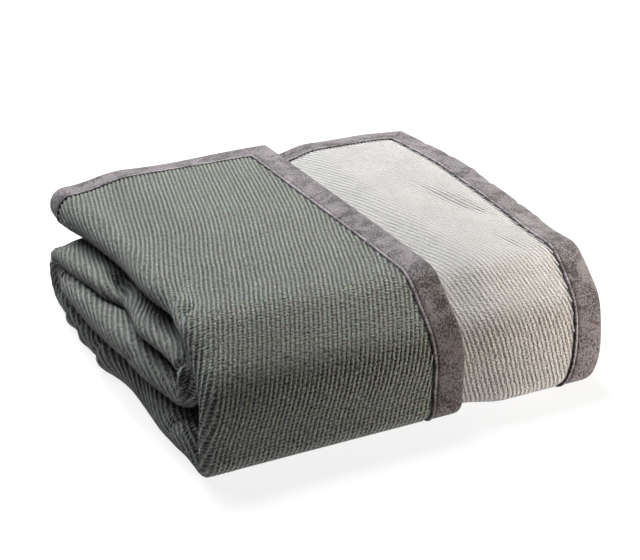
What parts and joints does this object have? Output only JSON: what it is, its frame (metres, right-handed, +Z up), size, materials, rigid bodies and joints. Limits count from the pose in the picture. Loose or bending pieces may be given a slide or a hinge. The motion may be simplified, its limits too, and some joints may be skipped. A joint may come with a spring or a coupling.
{
  "type": "sofa throw",
  "caption": "Double-faced knitted sofa throw with a plush edge binding, doubled lengthwise and rolled into a soft flat bundle lying on its underside.",
  "frame": {"origin": "middle of the bundle's outline, on the surface it lies on", "axes": "+X along the width of the bundle towards the cream strip, +Y from the rounded front to the back, +Z up"},
  "size_m": [0.5306, 0.5296, 0.1368],
  "materials": {
    "green_knit": "ribbed knit, matte",
    "cream_knit": "ribbed knit, matte",
    "plush_binding": "short mottled plush"
  },
  "bodies": {
    "root": {"green_panel": "green_knit", "cream_panel": "cream_knit", "binding_long_flap": "plush_binding", "binding_long_outer": "plush_binding", "binding_end_top": "plush_binding", "binding_end_inner": "plush_binding"}
  },
  "joints": []
}
